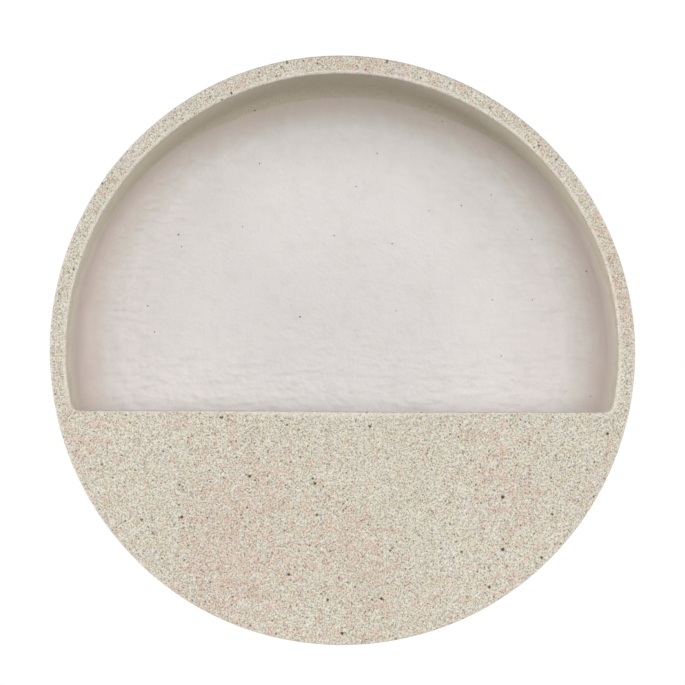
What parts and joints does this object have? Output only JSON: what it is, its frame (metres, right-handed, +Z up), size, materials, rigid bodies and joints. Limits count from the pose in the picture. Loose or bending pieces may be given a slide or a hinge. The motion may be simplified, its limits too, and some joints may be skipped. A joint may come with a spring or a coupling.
{
  "type": "wall planter",
  "caption": "Round cast-stone wall planter: a shallow drum with a half-moon apron that holds soil, a pale coated inside, keyhole hangers on its back and a drain plug underneath.",
  "frame": {"origin": "midway between the round entries of the two keyholes, on the rear face", "axes": "+X to the right seen from the front, +Y from the front towards the wall, +Z up"},
  "size_m": [0.3999, 0.113, 0.4],
  "materials": {
    "cast_stone": "fine sandy grain with dark specks",
    "mortar": "trowelled",
    "inner_coat": "brushed satin coat",
    "plated_steel": "zinc plated",
    "brass": "turned",
    "bumper_rubber": "milky soft rubber",
    "plug_rubber": "matt moulded rubber"
  },
  "bodies": {
    "planter": {"front_shell": "cast_stone", "back_plate": "cast_stone", "seam_mortar": "mortar", "cove_bead": "mortar", "inner_coat": "inner_coat", "keyhole_plate_left": "plated_steel", "keyhole_plate_right": "plated_steel", "plate_screws_left": "plated_steel", "plate_screws_right": "plated_steel", "screw_inserts_left": "brass", "screw_inserts_right": "brass", "wall_bumper_1": "bumper_rubber", "wall_bumper_2": "bumper_rubber", "wall_bumper_3": "bumper_rubber", "wall_bumper_4": "bumper_rubber"},
    "plug": {"drain_plug": "plug_rubber"}
  },
  "joints": [
    {"name": "plug_pull", "type": "slide", "parent": "planter", "child": "plug", "axis": [0, 0, -1], "range_m": [0, 0.03]}
  ]
}
